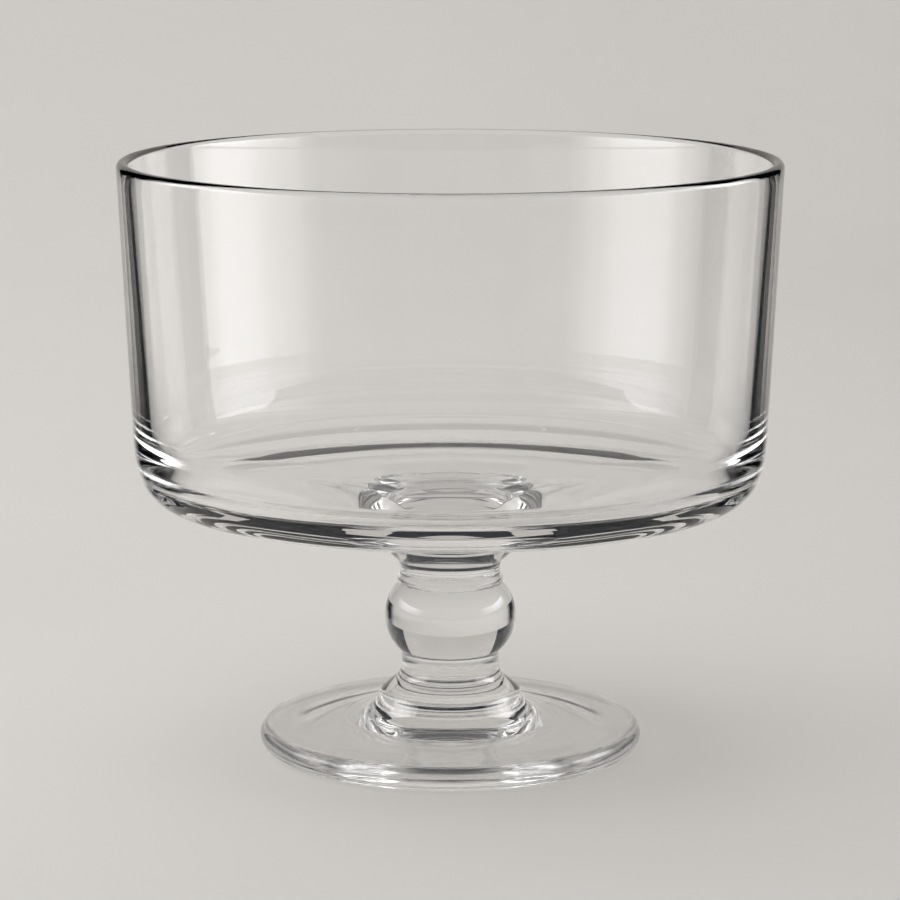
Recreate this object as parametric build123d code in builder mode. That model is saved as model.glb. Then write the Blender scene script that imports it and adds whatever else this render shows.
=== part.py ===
from build123d import *
from math import atan, cos, radians, sin, sqrt, tan
import os

# Footed trifle bowl in clear glass, in millimetres, standing on Z = 0 with its axis on Z.
# Every piece is a turned form: a half profile on the XZ plane, revolved about Z.

# Foot: a disc with a fully rounded edge, a flat rest ring and a hollowed underside
foot_r = 64.6
foot_edge_r = 4.0
rest_ring_w = 4.8
hollow_lip_w = 5.8
hollow_lip_h = 0.45
hollow_h = 3.7

# Lower collar: the bell that spreads from the ball down to the foot
bell_seat_r = 35.6
bell_seat_rise = 1.8
bell_h = 23.6
bell_cove_round = 8.4
bell_side_lean = 26.3
bell_toe_w = 12.1
bell_shoulder_h = 9.0
bell_shoulder_round = 6.0
bell_waist_r = 16.4
bell_waist_drop = 2.2
bell_cone_drop = 8.5
bell_cone_round = 7.0

# Ball knop: a flattened ball, cut square where the collars join it
ball_r = 22.3
ball_half_h = 18.3
ball_cut_h = 22.4

# Upper collar: bead, waist and flare up to a round-edged disc under the bowl
collar_h = 22.8
bead_r = 17.9
bead_h = 2.4
waist_r = 16.75
waist_rise = 4.7
cone_rise = 7.4
cone_angle = 40.0
cone_round = 5.2
disc_r = 24.7
disc_round = 2.4
disc_fillet = 1.5

# Bowl: near-upright wall, two-stage rounded corner, creased base and dished floor
bowl_h = 120.4
rim_r = 110.15
rim_wall = 4.1
outer_draft = 2.71
inner_draft = 3.74
corner_rise = 26.7
corner_upper_r = 37.5
corner_lower_r = 11.6
corner_split = 22.5
corner_end = 78.5
base_run = 14.6
base_crease_round = 6.0
floor_t = 9.4
floor_run = 31.5
floor_slope = 15.0
dish_round = 149.0
heel_in = 1.6
heel_round = 8.0
knee_rise = 14.0
knee_round = 50.0

# Levels of the stack, from the foot up
edge_top_z = 2 * foot_edge_r
foot_top_z = edge_top_z + bell_seat_rise
ball_bottom_z = foot_top_z + bell_h
ball_mid_z = ball_bottom_z + ball_cut_h / 2
ball_top_z = ball_bottom_z + ball_cut_h
base_z = ball_top_z + collar_h
floor_z = base_z + floor_t
rim_z = base_z + bowl_h

# Shared seats: the collars end on the ball's cut faces, the bowl sits on the collar's disc
ball_seat_r = ball_r * sqrt(1 - (ball_cut_h / 2 / ball_half_h) ** 2)
disc_seat_r = disc_r + disc_fillet

os.makedirs("parts", exist_ok=True)


def corner_at(sketch, point):
    """The sketch vertex nearest to a point of its half profile."""
    return sketch.vertices().sort_by_distance((*point, 0))[0]


# Foot
edge_r = foot_r - foot_edge_r
rest_in_r = edge_r - rest_ring_w
hollow_r = rest_in_r - hollow_lip_w
with BuildPart() as foot:
    with BuildSketch(Plane.XZ):
        with BuildLine():
            Line((0, hollow_h), (0, foot_top_z))
            Line((0, foot_top_z), (bell_seat_r, foot_top_z))
            TangentArc((edge_r, edge_top_z), (bell_seat_r, foot_top_z), tangent=(-1, 0))
            ThreePointArc((edge_r, edge_top_z), (foot_r, foot_edge_r), (edge_r, 0))
            Line((edge_r, 0), (rest_in_r, 0))
            TangentArc((rest_in_r, 0), (hollow_r, hollow_lip_h), tangent=(-1, 0))
            TangentArc((0, hollow_h), (hollow_r, hollow_lip_h), tangent=(1, 0))
        make_face()
    revolve(axis=Axis.Z)
foot.part.label = "foot"
export_step(foot.part, "parts/foot.step")


# Lower collar
bell_shoulder_r = bell_seat_r - bell_toe_w
shoulder = (bell_shoulder_r, foot_top_z + bell_shoulder_h)
bell_waist = (bell_waist_r, ball_bottom_z - bell_waist_drop)
bell_apex = (bell_waist_r, ball_bottom_z - bell_cone_drop)
bell_seat = (bell_seat_r, foot_top_z)
toe_fall = tan(2 * atan(bell_seat_rise / (edge_r - bell_seat_r)))
side_spread = tan(radians(bell_side_lean))
cove_drop = (bell_shoulder_h - bell_toe_w * toe_fall) / (1 - side_spread * toe_fall)
cove = (bell_shoulder_r + cove_drop * side_spread, shoulder[1] - cove_drop)
with BuildPart() as lower_collar:
    with BuildSketch(Plane.XZ) as bell_profile:
        with BuildLine():
            Line((0, foot_top_z), (0, ball_bottom_z))
            Line((0, ball_bottom_z), (ball_seat_r, ball_bottom_z))
            TangentArc(bell_waist, (ball_seat_r, ball_bottom_z), tangent=(0, 1))
            Polyline(bell_waist, bell_apex, shoulder, cove, bell_seat, (0, foot_top_z))
        make_face()
        fillet(corner_at(bell_profile, bell_apex), bell_cone_round)
        fillet(corner_at(bell_profile, shoulder), bell_shoulder_round)
        fillet(corner_at(bell_profile, cove), bell_cove_round)
    revolve(axis=Axis.Z)
lower_collar.part.label = "lower_collar"
export_step(lower_collar.part, "parts/lower_collar.step")


# Ball knop
with BuildPart() as ball_knop:
    with BuildSketch(Plane.XZ):
        with Locations((0, ball_mid_z)):
            Ellipse(ball_r, ball_half_h)
            Rectangle(
                ball_r,
                ball_cut_h,
                align=(Align.MIN, Align.CENTER),
                mode=Mode.INTERSECT,
            )
    revolve(axis=Axis.Z)
ball_knop.part.label = "ball_knop"
export_step(ball_knop.part, "parts/ball_knop.step")


# Upper collar
bead_top_z = ball_top_z + bead_h
waist = (waist_r, ball_top_z + waist_rise)
cone_apex = (waist_r, ball_top_z + cone_rise)
disc_edge = (disc_r, cone_apex[1] + (disc_r - waist_r) * tan(radians(cone_angle)))
disc_top = (disc_r, base_z - disc_fillet)
with BuildPart() as upper_collar:
    with BuildSketch(Plane.XZ) as collar_profile:
        with BuildLine():
            Line((0, base_z), (0, ball_top_z))
            Line((0, ball_top_z), (ball_seat_r, ball_top_z))
            ThreePointArc(
                (ball_seat_r, ball_top_z), (bead_r, ball_top_z + bead_h / 2), (ball_seat_r, bead_top_z)
            )
            TangentArc(waist, (ball_seat_r, bead_top_z), tangent=(0, -1))
            Polyline(waist, cone_apex, disc_edge, disc_top)
            TangentArc(disc_top, (disc_seat_r, base_z), tangent=(0, 1))
            Line((disc_seat_r, base_z), (0, base_z))
        make_face()
        fillet(corner_at(collar_profile, cone_apex), cone_round)
        fillet(corner_at(collar_profile, disc_edge), disc_round)
    revolve(axis=Axis.Z)
upper_collar.part.label = "upper_collar"
export_step(upper_collar.part, "parts/upper_collar.step")


# Bowl
lip_r = rim_wall / 2
lip_mid = (rim_r - lip_r, rim_z - lip_r)
outer_lean = radians(outer_draft)
inner_lean = radians(inner_draft)
lip_out = (lip_mid[0] + lip_r * cos(outer_lean), lip_mid[1] - lip_r * sin(outer_lean))
lip_in = (lip_mid[0] - lip_r * cos(inner_lean), lip_mid[1] + lip_r * sin(inner_lean))
corner_z = base_z + corner_rise
corner_top = (lip_out[0] - (lip_out[1] - corner_z) * tan(outer_lean), corner_z)
heel_r = lip_in[0] - (lip_in[1] - floor_z) * tan(inner_lean) - heel_in
heel = (heel_r, floor_z + floor_run * tan(radians(floor_slope)))
floor_break = (heel_r - floor_run, floor_z)
knee_z = heel[1] + knee_rise
knee = (lip_in[0] - (lip_in[1] - knee_z) * tan(inner_lean), knee_z)
with BuildPart() as bowl:
    with BuildSketch(Plane.XZ) as bowl_profile:
        with BuildLine():
            wall = Line(lip_out, corner_top)
            upper_turn = JernArc(wall @ 1, wall % 1, corner_upper_r, outer_draft - corner_split)
            lower_turn = JernArc(upper_turn @ 1, upper_turn % 1, corner_lower_r, corner_split - corner_end)
            base_slope = Line(lower_turn @ 1, lower_turn @ 1 + (lower_turn % 1) * base_run)
            Polyline(base_slope @ 1, (disc_seat_r, base_z), (0, base_z), (0, floor_z))
            Polyline((0, floor_z), floor_break, heel, knee, lip_in)
            ThreePointArc(lip_in, (lip_mid[0], rim_z), lip_out)
        make_face()
        fillet(corner_at(bowl_profile, tuple(base_slope @ 1)[:2]), base_crease_round)
        fillet(corner_at(bowl_profile, floor_break), dish_round)
        fillet(corner_at(bowl_profile, heel), heel_round)
        fillet(corner_at(bowl_profile, knee), knee_round)
    revolve(axis=Axis.Z)
bowl.part.label = "bowl"
export_step(bowl.part, "parts/bowl.step")
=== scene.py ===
from math import atan2, ceil, cos, degrees, pi, radians, sin, sqrt, tan

import bmesh
import bpy
from mathutils import Matrix, Vector


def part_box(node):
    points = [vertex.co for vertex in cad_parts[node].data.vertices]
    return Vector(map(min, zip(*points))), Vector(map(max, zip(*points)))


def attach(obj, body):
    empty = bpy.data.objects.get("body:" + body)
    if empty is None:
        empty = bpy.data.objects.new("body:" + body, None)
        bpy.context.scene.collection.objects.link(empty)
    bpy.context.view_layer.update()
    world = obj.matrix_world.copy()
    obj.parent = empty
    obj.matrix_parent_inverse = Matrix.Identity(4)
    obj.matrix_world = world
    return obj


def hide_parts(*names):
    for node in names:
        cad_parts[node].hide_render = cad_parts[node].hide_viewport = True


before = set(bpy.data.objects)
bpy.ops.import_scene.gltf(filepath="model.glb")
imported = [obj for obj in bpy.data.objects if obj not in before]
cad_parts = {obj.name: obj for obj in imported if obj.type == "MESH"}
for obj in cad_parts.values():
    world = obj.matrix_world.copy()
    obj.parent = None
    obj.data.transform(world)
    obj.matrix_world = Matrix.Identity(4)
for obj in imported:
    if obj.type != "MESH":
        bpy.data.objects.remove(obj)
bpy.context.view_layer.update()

# The glass is drawn in millimetres and the paper room in centimetres; lamps and camera are in metres
MM = 0.001
CM = 0.01

# Steps along an outline in its own unit, and round its arcs in degrees
RUN_STEP = 4.0
ARC_STEP = 1.3
ARC_TURN = 4.0
ARC_LEAST = 2

# Turning an outline about Z, with gaps in metres
FULL_TURN = 360.0
SPIN_STEPS = 288
ROOM_STEPS = 96
CREASE = radians(16)
MERGE_GAP = 1e-6
LEVEL_GAP = 1e-7
SEAM_GAP = 2e-6
CENTRE = (0.0, 0.0, 0.0)
UPRIGHT = (0.0, 0.0, 1.0)
TO_VIEWER = (0.0, -1.0, 0.0)

# Levels and radii of the stack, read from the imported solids
FOOT_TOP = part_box("foot")[1][2] / MM
FOOT_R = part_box("foot")[1][0] / MM
BALL_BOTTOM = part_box("ball_knop")[0][2] / MM
BALL_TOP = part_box("ball_knop")[1][2] / MM
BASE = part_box("bowl")[0][2] / MM
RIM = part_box("bowl")[1][2] / MM
RIM_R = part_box("bowl")[1][0] / MM

# Foot
FOOT_EDGE_R = 4.0
FOOT_EDGE_TOP = 2 * FOOT_EDGE_R
FOOT_EDGE_IN = FOOT_R - FOOT_EDGE_R
REST_RING_W = 4.8
HOLLOW_LIP_W = 5.8
HOLLOW_LIP_H = 0.45
HOLLOW_H = 3.7

# Bell between the foot and the ball
BELL_SEAT_R = 35.6
BELL_TOE_FALL = 2 * atan2(FOOT_TOP - FOOT_EDGE_TOP, FOOT_EDGE_IN - BELL_SEAT_R)
BELL_COVE_ROUND = 8.4
BELL_SIDE_LEAN = 26.3
BELL_TOE_W = 12.1
BELL_SHOULDER_R = BELL_SEAT_R - BELL_TOE_W
BELL_SHOULDER_H = 9.0
BELL_SHOULDER_ROUND = 6.0
BELL_WAIST_R = 16.4
BELL_WAIST_DROP = 2.2
BELL_CONE_DROP = 8.5
BELL_CONE_ROUND = 7.0

# Ball
BALL_R = 22.3
BALL_HALF_H = 18.3
BALL_MID = (BALL_BOTTOM + BALL_TOP) / 2
BALL_CUT = (BALL_TOP - BALL_BOTTOM) / 2
BALL_SEAT_R = BALL_R * sqrt(1 - (BALL_CUT / BALL_HALF_H) ** 2)

# Collar between the ball and the bowl
BEAD_R = 17.9
BEAD_H = 2.4
WAIST_R = 16.75
WAIST_RISE = 4.7
CONE_RISE = 7.4
CONE_ANGLE = 40.0
CONE_ROUND = 5.2
DISC_R = 24.7
DISC_ROUND = 2.4
DISC_FILLET = 1.5
DISC_SEAT_R = DISC_R + DISC_FILLET

# Bowl
RIM_WALL = 4.1
OUTER_DRAFT = 2.71
INNER_DRAFT = 3.74
CORNER_RISE = 26.7
CORNER_UPPER_R = 37.5
CORNER_LOWER_R = 11.6
CORNER_SPLIT = 22.5
CORNER_END = 78.5
BASE_RUN = 14.6
BASE_CREASE_ROUND = 6.0
FLOOR_T = 9.4
FLOOR_RUN = 31.5
FLOOR_SLOPE = 15.0
DISH_ROUND = 149.0
HEEL_IN = 1.6
HEEL_ROUND = 8.0
KNEE_RISE = 14.0
KNEE_ROUND = 50.0

# Glass: swells and scuffs by their count in a metre and their height in metres
CLEAR = (1.0, 1.0, 1.0, 1.0)
GLASS_IOR = 1.52
SWELLS = 38.0
SWELL_SHARE = 0.008
SWELL_DEPTH = 0.001
SCUFF_SPECKS = 900.0
SCUFF_ROUGH = 0.2
SCUFF_TOP = 0.0006
SHADOW_PASS = 0.94

# Paper and felt
PAPER_MOTTLE = 6.0
PAPER_DEEP = (0.755, 0.727, 0.690, 1.0)
PAPER_PALE = (0.785, 0.757, 0.720, 1.0)
FELT_BLACK = (0.010, 0.011, 0.014, 1.0)

# Paper room, in centimetres and degrees: a floor with a bent edge, a high back on it, a far wall outside
ROOM_R = 190.0
ROOM_BEND = 60.0
ROOM_TURN = 53.0
ROOM_GAP = 0.03
BACK_R = 177.9
BACK_FOOT = 23.8
BACK_H = 118.0
BACK_SPREAD = 36.0
FAR_R = 196.0
FAR_H = 125.0
FAR_BEND = 40.0
FAR_TURN = 90.0
FAR_GAP = 2.0

# Dark cards, in centimetres and in degrees off the back: tall ones for the wall, low ones for the stem
CARD_R = 46.0
CARD_H = 60.0
CARD_FROM = 38.0
CARD_TO = 57.0
CARD_SOLID = 16.0
LOW_R = 22.0
LOW_H = 12.0
LOW_FROM = 43.0
LOW_TO = 86.0
LOW_FADE = 12.0

# Counts on a ray's way, set between whole numbers: mirrored at all, and gone in and out of one piece
MIRRORED_ONCE = 0.5
PAST_ONE_PIECE = 2.5

# Lamps, in metres: a soft box on each side, standing on the floor, and a broad one overhead
BOX_AWAY = 0.5
BOX_H = 0.44
BOX_LOW_TOP = 0.45
BOX_HIGH_FOOT = 0.35
LEFT_W = 0.72
LEFT_ALONG = -0.084
LEFT_SHINE = 5.9
RIGHT_W = 0.642
RIGHT_ALONG = -0.034
RIGHT_SHINE = 6.8
TOP_W = 2.6
TOP_PLACE = (-0.7, 0.1, 2.3)
TOP_AIM = (-0.2, 0.2, 0.0)
TOP_SHINE = 3.0
DIM_ROOM = (0.008, 0.012, 0.020, 1.0)

# Light over the width and height of a box, as places from 0 to 1 with their levels
BOX_UP = ((0.0, 0.5), (0.40, 0.52), (0.60, 1.0), (0.85, 1.0), (1.0, 0.0))
LEFT_ACROSS = (
    (0.0, 0.0), (0.155, 0.39), (0.30, 0.92), (0.44, 1.0),
    (0.58, 0.93), (0.73, 0.55), (0.91, 0.16), (1.0, 0.0),
)
RIGHT_ACROSS = (
    (0.0, 0.0), (0.08, 0.11), (0.25, 0.47), (0.41, 0.66),
    (0.57, 1.0), (0.74, 1.0), (1.0, 0.5),
)

# Camera, and how often light may turn on its way through the glass
PHOTO_W = 900
SHIFT_PIXELS = -0.3
SENSOR_W = 36.0
FOCAL_LENGTH = 136.416
CAMERA_PLACE = (0.0, -1.12567, 0.30951)
CAMERA_DIP = 10.4987
GLASS_BOUNCES = 32
MIRROR_BOUNCES = 16
CLEAR_BOUNCES = 64


class Outline:
    """Half profile of a turned piece, drawn by leading one point across (X) and up (Z)."""

    def __init__(self, across, up):
        self.mesh = bmesh.new()
        self.tip = self.mesh.verts.new((across, 0.0, up))
        self.heading = Vector((1.0, 0.0, 0.0))

    def go(self, across, up):
        """Go straight to a point."""
        start = self.tip.co.copy()
        run = Vector((across, 0.0, up)) - start
        steps = max(1, ceil(run.length / RUN_STEP))
        for step in range(1, steps + 1):
            self.tip = bmesh.ops.extrude_vert_indiv(self.mesh, verts=[self.tip])["verts"][0]
            self.tip.co = start + run * (step / steps)
        self.heading = run.normalized()

    def turn(self, radius, angle):
        """Go on along an arc, to the left for a positive angle in degrees."""
        left = Vector((-self.heading.z, 0.0, self.heading.x))
        arc = abs(radians(angle)) * radius
        steps = max(ARC_LEAST, ceil(abs(angle) / ARC_TURN), ceil(arc / ARC_STEP))
        swept = bmesh.ops.spin(
            self.mesh,
            geom=[self.tip],
            cent=self.tip.co + left * (radius if angle > 0 else -radius),
            axis=TO_VIEWER,
            angle=radians(angle),
            steps=steps,
        )
        self.tip = [part for part in swept["geom_last"] if isinstance(part, bmesh.types.BMVert)][0]
        self.heading = Matrix.Rotation(radians(angle), 3, TO_VIEWER) @ self.heading

    def sweep(self, across, up):
        """Go on along the one arc that ends at a point."""
        chord = Vector((across, 0.0, up)) - self.tip.co
        angle = self.bend_to(chord)
        self.turn(chord.length / (2 * abs(sin(radians(angle)))), 2 * angle)

    def corner(self, at, radius, then):
        """Head for one point, round it off and head for the next."""
        run = Vector((at[0], 0.0, at[1])) - self.tip.co
        onward = Vector((then[0] - at[0], 0.0, then[1] - at[1]))
        self.heading = run.normalized()
        angle = self.bend_to(onward)
        stop = self.tip.co + run - self.heading * (radius * tan(radians(abs(angle)) / 2))
        self.go(stop.x, stop.z)
        self.turn(radius, angle)

    def bend_to(self, way):
        """Degrees from the present heading to another, left positive."""
        ahead = self.heading.x * way.x + self.heading.z * way.z
        aside = self.heading.x * way.z - self.heading.z * way.x
        return degrees(atan2(aside, ahead))

    def face(self, angle):
        """Set the heading, in degrees up from the X axis."""
        self.heading = Vector((cos(radians(angle)), 0.0, sin(radians(angle))))


def foot_outline():
    """A disc that falls a little to its rounded edge, on a flat ring round a shallow hollow."""
    rest_in = FOOT_EDGE_IN - REST_RING_W
    hollow_r = rest_in - HOLLOW_LIP_W
    line = Outline(0.0, FOOT_TOP)
    line.go(BELL_SEAT_R, FOOT_TOP)
    line.face(-degrees(BELL_TOE_FALL))
    line.sweep(FOOT_EDGE_IN, FOOT_EDGE_TOP)
    line.turn(FOOT_EDGE_R, -180)
    line.go(rest_in, 0.0)
    line.sweep(hollow_r, HOLLOW_LIP_H)
    line.face(180 - 2 * degrees(atan2(HOLLOW_H - HOLLOW_LIP_H, hollow_r)))
    line.sweep(0.0, HOLLOW_H)
    return line


def bell_outline():
    """A neck that spreads to a soft shoulder, and runs out on the slope of the foot."""
    shoulder = (BELL_SHOULDER_R, FOOT_TOP + BELL_SHOULDER_H)
    apex = (BELL_WAIST_R, BALL_BOTTOM - BELL_CONE_DROP)
    toe_fall = tan(BELL_TOE_FALL)
    spread = tan(radians(BELL_SIDE_LEAN))
    cove_drop = (BELL_SHOULDER_H - BELL_TOE_W * toe_fall) / (1 - spread * toe_fall)
    cove = (BELL_SHOULDER_R + cove_drop * spread, shoulder[1] - cove_drop)
    line = Outline(0.0, FOOT_TOP)
    line.go(BELL_SEAT_R, FOOT_TOP)
    line.corner(cove, BELL_COVE_ROUND, shoulder)
    line.corner(shoulder, BELL_SHOULDER_ROUND, apex)
    line.corner(apex, BELL_CONE_ROUND, (BELL_WAIST_R, BALL_BOTTOM))
    line.go(BELL_WAIST_R, BALL_BOTTOM - BELL_WAIST_DROP)
    line.sweep(BALL_SEAT_R, BALL_BOTTOM)
    line.go(0.0, BALL_BOTTOM)
    return line


def ball_outline():
    """A ball cut level at both ends, drawn round and then stretched across."""
    squash = BALL_R / BALL_HALF_H
    reach = degrees(atan2(BALL_CUT, BALL_SEAT_R / squash))
    line = Outline(0.0, -BALL_CUT)
    line.go(BALL_SEAT_R / squash, -BALL_CUT)
    line.face(90 - reach)
    line.turn(BALL_HALF_H, 2 * reach)
    line.go(0.0, BALL_CUT)
    bmesh.ops.scale(line.mesh, vec=(squash, 1.0, 1.0), verts=line.mesh.verts)
    bmesh.ops.translate(line.mesh, vec=(0.0, 0.0, BALL_MID), verts=line.mesh.verts)
    return line


def collar_outline():
    """A bead, a waist and a flare up to a round-edged disc under the bowl."""
    bead_top = BALL_TOP + BEAD_H
    waist_z = BALL_TOP + WAIST_RISE
    apex = (WAIST_R, BALL_TOP + CONE_RISE)
    disc_edge = (DISC_R, apex[1] + (DISC_R - WAIST_R) * tan(radians(CONE_ANGLE)))
    line = Outline(0.0, BALL_TOP)
    line.go(BALL_SEAT_R, BALL_TOP)
    line.face(90 - 2 * degrees(atan2(BEAD_R - BALL_SEAT_R, BEAD_H / 2)))
    line.sweep(BALL_SEAT_R, bead_top)
    line.face(90 + 2 * degrees(atan2(BALL_SEAT_R - WAIST_R, waist_z - bead_top)))
    line.sweep(WAIST_R, waist_z)
    line.corner(apex, CONE_ROUND, disc_edge)
    line.corner(disc_edge, DISC_ROUND, (DISC_R, BASE))
    line.go(DISC_R, BASE - DISC_FILLET)
    line.turn(DISC_FILLET, -90)
    line.go(0.0, BASE)
    return line


def bowl_outline():
    """From the dished floor up the inside, over the lip, and down round the corner to the base."""
    inner_lean = radians(INNER_DRAFT)
    outer_lean = radians(OUTER_DRAFT)
    lip_r = RIM_WALL / 2
    lip_mid = (RIM_R - lip_r, RIM - lip_r)
    lip_in = (lip_mid[0] - lip_r * cos(inner_lean), lip_mid[1] + lip_r * sin(inner_lean))
    lip_out = (lip_mid[0] + lip_r * cos(outer_lean), lip_mid[1] - lip_r * sin(outer_lean))
    floor = BASE + FLOOR_T
    heel_r = lip_in[0] - (lip_in[1] - floor) * tan(inner_lean) - HEEL_IN
    heel = (heel_r, floor + FLOOR_RUN * tan(radians(FLOOR_SLOPE)))
    knee_z = heel[1] + KNEE_RISE
    knee = (lip_in[0] - (lip_in[1] - knee_z) * tan(inner_lean), knee_z)
    corner_z = BASE + CORNER_RISE
    corner_r = lip_out[0] - (lip_out[1] - corner_z) * tan(outer_lean)
    line = Outline(0.0, floor)
    line.corner((heel_r - FLOOR_RUN, floor), DISH_ROUND, heel)
    line.corner(heel, HEEL_ROUND, knee)
    line.corner(knee, KNEE_ROUND, lip_in)
    line.go(*lip_in)
    line.turn(lip_r, INNER_DRAFT - OUTER_DRAFT - 180)
    line.go(corner_r, corner_z)
    line.turn(CORNER_UPPER_R, OUTER_DRAFT - CORNER_SPLIT)
    line.turn(CORNER_LOWER_R, CORNER_SPLIT - CORNER_END)
    crease = line.tip.co + line.heading * BASE_RUN
    line.corner((crease.x, crease.z), BASE_CREASE_ROUND, (DISC_SEAT_R, BASE))
    line.go(DISC_SEAT_R, BASE)
    line.go(0.0, BASE)
    return line


def turned(mesh, unit, angle, steps):
    """Bring an outline to metres and turn it about Z, by an angle in degrees."""
    bmesh.ops.scale(mesh, vec=(unit, unit, unit), verts=mesh.verts)
    bmesh.ops.spin(
        mesh,
        geom=mesh.verts[:] + mesh.edges[:],
        cent=CENTRE,
        axis=UPRIGHT,
        angle=radians(angle),
        steps=steps,
        use_merge=angle == FULL_TURN,
    )
    bmesh.ops.remove_doubles(mesh, verts=mesh.verts, dist=MERGE_GAP)
    bmesh.ops.recalc_face_normals(mesh, faces=mesh.faces)
    for face in mesh.faces:
        face.smooth = True
    return mesh


def placed(name, mesh, *finishes):
    """An object at the origin, with its place in its mesh."""
    data = bpy.data.meshes.new(name)
    mesh.to_mesh(data)
    mesh.free()
    for finish in finishes:
        data.materials.append(finish)
    piece = bpy.data.objects.new(name, data)
    bpy.context.scene.collection.objects.link(piece)
    return piece


def group(name, sockets):
    """An empty shader group with its named inputs and outputs."""
    made = bpy.data.node_groups.new(name, "ShaderNodeTree")
    for label, way, kind, value in sockets:
        socket = made.interface.new_socket(label, in_out=way, socket_type=kind)
        if value is not None:
            socket.default_value = value
    return made, made.nodes.new("NodeGroupInput"), made.nodes.new("NodeGroupOutput")


def node(tree, kind, **values):
    """A node with its settings and plain input values."""
    made = tree.nodes.new(kind)
    for key, value in values.items():
        if hasattr(made, key):
            setattr(made, key, value)
        else:
            made.inputs[key.replace("_", " ")].default_value = value
    return made


def reckon(tree, operation, *terms):
    """The result of a Math node whose terms are other results or plain numbers."""
    made = node(tree, "ShaderNodeMath", operation=operation)
    for socket, term in zip(made.inputs, terms):
        if isinstance(term, bpy.types.NodeSocket):
            tree.links.new(term, socket)
        else:
            socket.default_value = term
    return made.outputs[0]


def new_finish(name, **values):
    """A material with plain values on its shader's own sockets."""
    made = bpy.data.materials.new(name)
    made.use_nodes = True
    shader = made.node_tree.nodes["Principled BSDF"]
    for key, value in values.items():
        shader.inputs[key.replace("_", " ")].default_value = value
    return made, made.node_tree, shader


def mix_shaders(tree, share, shader, other):
    """Send one shader to the surface, with a share of another."""
    mixed = tree.nodes.new("ShaderNodeMixShader")
    tree.links.new(share, mixed.inputs["Fac"])
    tree.links.new(shader.outputs[0], mixed.inputs[1])
    tree.links.new(other.outputs[0], mixed.inputs[2])
    tree.links.new(mixed.outputs[0], tree.nodes["Material Output"].inputs["Surface"])


def fire_polish_group():
    """Slow swells left in glass by the flame that polishes it."""
    tree, into, out = group("fire_polish", (
        ("Point", "INPUT", "NodeSocketVector", None),
        ("Swell", "INPUT", "NodeSocketFloat", 1.0),
        ("Height", "OUTPUT", "NodeSocketFloat", None),
    ))
    swell = node(tree, "ShaderNodeTexNoise", Scale=SWELLS, Detail=1.5, Roughness=0.45)
    tree.links.new(into.outputs["Point"], swell.inputs["Vector"])
    height = reckon(tree, "MULTIPLY", swell.outputs[0], into.outputs["Swell"])
    tree.links.new(height, out.inputs["Height"])
    return tree


def handling_wear_group():
    """Roughness of a polished surface, with a scuffed ring where it stands on the table."""
    tree, into, out = group("handling_wear", (
        ("Point", "INPUT", "NodeSocketVector", None),
        ("Polish", "INPUT", "NodeSocketFloat", 0.0),
        ("Scuff", "INPUT", "NodeSocketFloat", SCUFF_ROUGH),
        ("Scuff height", "INPUT", "NodeSocketFloat", SCUFF_TOP),
        ("Roughness", "OUTPUT", "NodeSocketFloat", None),
    ))
    parts = node(tree, "ShaderNodeSeparateXYZ")
    specks = node(tree, "ShaderNodeTexNoise", Scale=SCUFF_SPECKS, Detail=3.0, Roughness=0.7)
    tree.links.new(into.outputs["Point"], parts.inputs[0])
    tree.links.new(into.outputs["Point"], specks.inputs["Vector"])
    low = reckon(tree, "LESS_THAN", parts.outputs["Z"], into.outputs["Scuff height"])
    worn = reckon(tree, "MULTIPLY", low, specks.outputs[0])
    rough = reckon(tree, "MULTIPLY_ADD", worn, into.outputs["Scuff"], into.outputs["Polish"])
    tree.links.new(rough, out.inputs["Roughness"])
    return tree


def clear_glass(fire_polish, handling_wear):
    """Colourless glass, which lets most light through to the table, so that its shadow is faint."""
    made, tree, shader = new_finish(
        "clear_glass", Base_Color=CLEAR, IOR=GLASS_IOR, Transmission_Weight=1.0, Metallic=0.0
    )
    where = tree.nodes.new("ShaderNodeTexCoord")
    swells = node(tree, "ShaderNodeGroup", node_tree=fire_polish)
    wear = node(tree, "ShaderNodeGroup", node_tree=handling_wear)
    bump = node(tree, "ShaderNodeBump", Strength=SWELL_SHARE, Distance=SWELL_DEPTH)
    tree.links.new(where.outputs["Object"], swells.inputs["Point"])
    tree.links.new(where.outputs["Object"], wear.inputs["Point"])
    tree.links.new(swells.outputs["Height"], bump.inputs["Height"])
    tree.links.new(bump.outputs["Normal"], shader.inputs["Normal"])
    tree.links.new(wear.outputs["Roughness"], shader.inputs["Roughness"])
    path = tree.nodes.new("ShaderNodeLightPath")
    share = reckon(tree, "MULTIPLY", path.outputs["Is Shadow Ray"], SHADOW_PASS)
    mix_shaders(tree, share, shader, tree.nodes.new("ShaderNodeBsdfTransparent"))
    return made


def fused_seam():
    """Where two gathers of glass are melted into one, there is no surface to see."""
    return new_finish("fused_seam", Alpha=0.0)[0]


def turned_piece(name, outline, node_name, seams, glass, seam):
    """Turn an outline about Z, and hand its melted faces to the seam finish."""
    mesh = turned(outline.mesh, MM, FULL_TURN, SPIN_STEPS)
    for face in mesh.faces:
        height = face.verts[0].co.z
        level = all(abs(corner.co.z - height) < LEVEL_GAP for corner in face.verts)
        if level and any(abs(height - seam_z * MM) < SEAM_GAP for seam_z in seams):
            face.material_index = 1
    for edge in mesh.edges:
        edge.smooth = edge.calc_face_angle(0.0) < CREASE
    piece = placed(name, mesh, glass, seam)
    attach(piece, "root")
    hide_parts(node_name)


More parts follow.
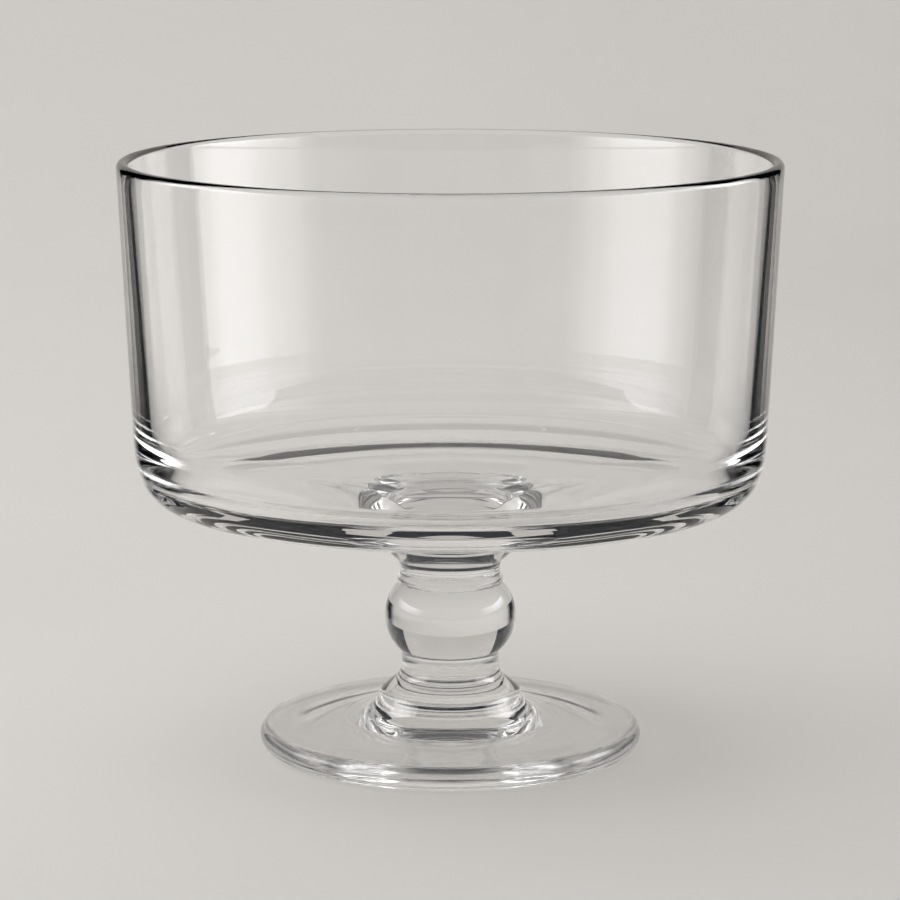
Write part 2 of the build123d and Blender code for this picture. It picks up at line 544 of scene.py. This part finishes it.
# The bowl on its foot, from the table up
glass = clear_glass(fire_polish_group(), handling_wear_group())
seam = fused_seam()
turned_piece("standing_foot", foot_outline(), "foot", (FOOT_TOP,), glass, seam)
turned_piece("spread_bell", bell_outline(), "lower_collar", (FOOT_TOP, BALL_BOTTOM), glass, seam)
turned_piece("squat_ball", ball_outline(), "ball_knop", (BALL_BOTTOM, BALL_TOP), glass, seam)
turned_piece("flared_collar", collar_outline(), "upper_collar", (BALL_TOP, BASE), glass, seam)
turned_piece("deep_bowl", bowl_outline(), "bowl", (BASE,), glass, seam)


def pale_paper():
    """Matt paper with a faint mottle."""
    made, tree, shader = new_finish("pale_paper", Roughness=0.9, Specular_IOR_Level=0.0)
    where = tree.nodes.new("ShaderNodeTexCoord")
    mottle = node(tree, "ShaderNodeTexNoise", Scale=PAPER_MOTTLE, Detail=4.0, Roughness=0.6)
    tones = tree.nodes.new("ShaderNodeValToRGB")
    tones.color_ramp.elements[0].color = PAPER_DEEP
    tones.color_ramp.elements[1].color = PAPER_PALE
    tree.links.new(where.outputs["Object"], mottle.inputs["Vector"])
    tree.links.new(mottle.outputs[0], tones.inputs[0])
    tree.links.new(tones.outputs[0], shader.inputs["Base Color"])
    return made


def split_place(tree):
    """The three parts of a point on a stage piece."""
    where = tree.nodes.new("ShaderNodeTexCoord")
    parts = tree.nodes.new("ShaderNodeSeparateXYZ")
    tree.links.new(where.outputs["Object"], parts.inputs[0])
    return parts.outputs


def mirrored(tree):
    """One for a ray that the glass has mirrored, so that nothing shows straight through it."""
    path = tree.nodes.new("ShaderNodeLightPath")
    return reckon(tree, "GREATER_THAN", path.outputs["Glossy Depth"], MIRRORED_ONCE)


def mirrored_or_high(tree):
    """One for mirrored rays, and for all rays higher than those that come down through the bowl."""
    high = reckon(tree, "GREATER_THAN", split_place(tree)["Z"], CARD_SOLID * CM)
    return reckon(tree, "MAXIMUM", mirrored(tree), high)


def bent_once(tree):
    """One for a ray through no more than one piece, such as the ball, fading at the card's edges."""
    path = tree.nodes.new("ShaderNodeLightPath")
    shown = reckon(tree, "LESS_THAN", path.outputs["Transmission Depth"], PAST_ONE_PIECE)
    place = split_place(tree)
    off_back = reckon(tree, "ARCTAN2", reckon(tree, "ABSOLUTE", place["X"]), place["Y"])
    for measure, edge, inner in (
        (off_back, radians(LOW_FROM), radians(LOW_FROM + LOW_FADE)),
        (off_back, radians(LOW_TO), radians(LOW_TO - LOW_FADE)),
        (place["Z"], LOW_H * CM, LOW_H * CM / 2),
    ):
        fade = node(tree, "ShaderNodeMapRange", interpolation_type="SMOOTHSTEP")
        fade.inputs["From Min"].default_value = edge
        fade.inputs["From Max"].default_value = inner
        tree.links.new(measure, fade.inputs["Value"])
        shown = reckon(tree, "MULTIPLY", fade.outputs["Result"], shown)
    return shown


def black_felt(name, shown_to):
    """Dead black cloth that some rays see and others pass."""
    made, tree, shader = new_finish(
        name, Base_Color=FELT_BLACK, Roughness=1.0, Specular_IOR_Level=0.0
    )
    mix_shaders(tree, shown_to(tree), tree.nodes.new("ShaderNodeBsdfTransparent"), shader)
    return made


def stage_piece(name, mesh, finish):
    """A part of the studio, which is no part of the bowl."""
    piece = placed(name, mesh, finish)
    return piece


def bent_floor(radius, bend, turn, gap):
    """Outline of a floor with a bent edge, a gap under the foot, so that air stays between them."""
    line = Outline(0.0, -gap)
    line.go(radius - bend, -gap)
    line.turn(bend, turn)
    return line


def upright_sheet(radius, foot, top, start, sweep):
    """A curved sheet round the bowl, from an angle off its back, left positive, on by a sweep."""
    line = Outline(0.0, foot)
    line.go(0.0, top)
    bmesh.ops.translate(line.mesh, vec=(0.0, radius, 0.0), verts=line.mesh.verts)
    bmesh.ops.rotate(
        line.mesh,
        cent=CENTRE,
        matrix=Matrix.Rotation(radians(start), 3, "Z"),
        verts=line.mesh.verts,
    )
    return turned(line.mesh, CM, sweep, ROOM_STEPS)


def dark_card(name, side, radius, height, near, far, finish):
    """A card between two angles off the back, for the dark lines in the glass."""
    start = far if side == "left" else -near
    card = stage_piece(name, upright_sheet(radius, -FAR_GAP, height, start, near - far), finish)
    card.visible_camera = False
    card.visible_diffuse = False
    card.visible_shadow = False


def soft_box(name, size, place, aim, radiance):
    """A lamp of a given brightness, aimed at a point."""
    lamp = bpy.data.lights.new(name, "AREA")
    lamp.shape = "RECTANGLE"
    lamp.size, lamp.size_y = size
    lamp.energy = radiance * pi * size[0] * size[1]
    box = bpy.data.objects.new(name, lamp)
    box.location = place
    box.rotation_euler = (Vector(aim) - Vector(place)).to_track_quat("-Z", "Y").to_euler()
    bpy.context.scene.collection.objects.link(box)
    return box


def level_along(tree, place, stops):
    """Light that rises and falls along one side of a box."""
    tones = tree.nodes.new("ShaderNodeValToRGB")
    tones.color_ramp.interpolation = "EASE"
    for position, _ in stops[1:-1]:
        tones.color_ramp.elements.new(position)
    for stop, (position, level) in zip(tones.color_ramp.elements, stops):
        stop.position = position
        stop.color = (level, level, level, 1.0)
    tree.links.new(place, tones.inputs[0])
    return tones.outputs[0]


def graded(box, across, up):
    """Let the light of a box rise and fall over its width and height, for mirrored rays alone."""
    box.data.use_nodes = True
    tree = box.data.node_tree
    where = tree.nodes.new("ShaderNodeNewGeometry")
    parts = tree.nodes.new("ShaderNodeSeparateXYZ")
    tree.links.new(where.outputs["Parametric"], parts.inputs[0])
    levels = (level_along(tree, parts.outputs["X"], across), level_along(tree, parts.outputs["Y"], up))

    # Rays from inside the bowl see the low part and others the high part, so wall and floor stay clear
    path = tree.nodes.new("ShaderNodeLightPath")
    inside = reckon(tree, "GREATER_THAN", path.outputs["Transmission Depth"], PAST_ONE_PIECE)
    low = reckon(tree, "LESS_THAN", parts.outputs["Y"], BOX_LOW_TOP)
    high = reckon(tree, "GREATER_THAN", parts.outputs["Y"], BOX_HIGH_FOOT)
    part = node(tree, "ShaderNodeMix", data_type="FLOAT")
    tree.links.new(inside, part.inputs["Factor"])
    tree.links.new(high, part.inputs["A"])
    tree.links.new(low, part.inputs["B"])
    seen = reckon(tree, "MULTIPLY", part.outputs["Result"], mirrored(tree))
    shown = reckon(tree, "MULTIPLY", reckon(tree, "MULTIPLY", *levels), seen)
    tree.links.new(shown, tree.nodes["Emission"].inputs["Strength"])


# Paper room: only the camera sees the far wall, so the glass has a dark upper room to mirror
paper = pale_paper()
floor_line = bent_floor(ROOM_R, ROOM_BEND, ROOM_TURN, ROOM_GAP)
stage_piece("paper_floor", turned(floor_line.mesh, CM, FULL_TURN, ROOM_STEPS), paper)
stage_piece("tall_back", upright_sheet(BACK_R, BACK_FOOT, BACK_H, -BACK_SPREAD, 2 * BACK_SPREAD), paper)
wall_line = bent_floor(FAR_R, FAR_BEND, FAR_TURN, FAR_GAP)
wall_line.go(FAR_R, FAR_H)
far_wall = stage_piece("far_wall", turned(wall_line.mesh, CM, FULL_TURN, ROOM_STEPS), paper)
far_wall.visible_diffuse = False
far_wall.visible_glossy = False
far_wall.visible_transmission = False
far_wall.visible_shadow = False

# Dark cards
wall_felt = black_felt("wall_felt", mirrored_or_high)
stem_felt = black_felt("stem_felt", bent_once)
for side in ("left", "right"):
    dark_card(side + "_card", side, CARD_R, CARD_H, CARD_FROM, CARD_TO, wall_felt)
    dark_card(side + "_low_card", side, LOW_R, LOW_H, LOW_FROM, LOW_TO, stem_felt)

# Lamps
for name, width, x, y, shine, across in (
    ("left_box", LEFT_W, -BOX_AWAY, LEFT_ALONG, LEFT_SHINE, LEFT_ACROSS),
    ("right_box", RIGHT_W, BOX_AWAY, RIGHT_ALONG, RIGHT_SHINE, RIGHT_ACROSS),
):
    box = soft_box(name, (width, BOX_H), (x, y, BOX_H / 2), (0.0, y, BOX_H / 2), shine)
    graded(box, across, BOX_UP)
    box.visible_diffuse = False
overhead = soft_box("overhead", (TOP_W, TOP_W), TOP_PLACE, TOP_AIM, TOP_SHINE)
overhead.visible_transmission = False
overhead.visible_glossy = False
overhead.visible_camera = False

scene = bpy.context.scene
world = bpy.data.worlds.new("dim_room")
world.use_nodes = True
world.node_tree.nodes["Background"].inputs["Color"].default_value = DIM_ROOM
scene.world = world

# Camera at the photograph's place
lens = bpy.data.cameras.new("camera")
lens.sensor_width = SENSOR_W
lens.lens = FOCAL_LENGTH
lens.shift_x = SHIFT_PIXELS / PHOTO_W
lens.dof.use_dof = False
camera = bpy.data.objects.new("camera", lens)
camera.location = CAMERA_PLACE
camera.rotation_euler = (radians(90 - CAMERA_DIP), 0.0, 0.0)
scene.collection.objects.link(camera)
bpy.context.scene.camera = camera
scene.view_settings.view_transform = "Standard"
scene.cycles.max_bounces = GLASS_BOUNCES
scene.cycles.transmission_bounces = GLASS_BOUNCES
scene.cycles.glossy_bounces = MIRROR_BOUNCES
scene.cycles.transparent_max_bounces = CLEAR_BOUNCES
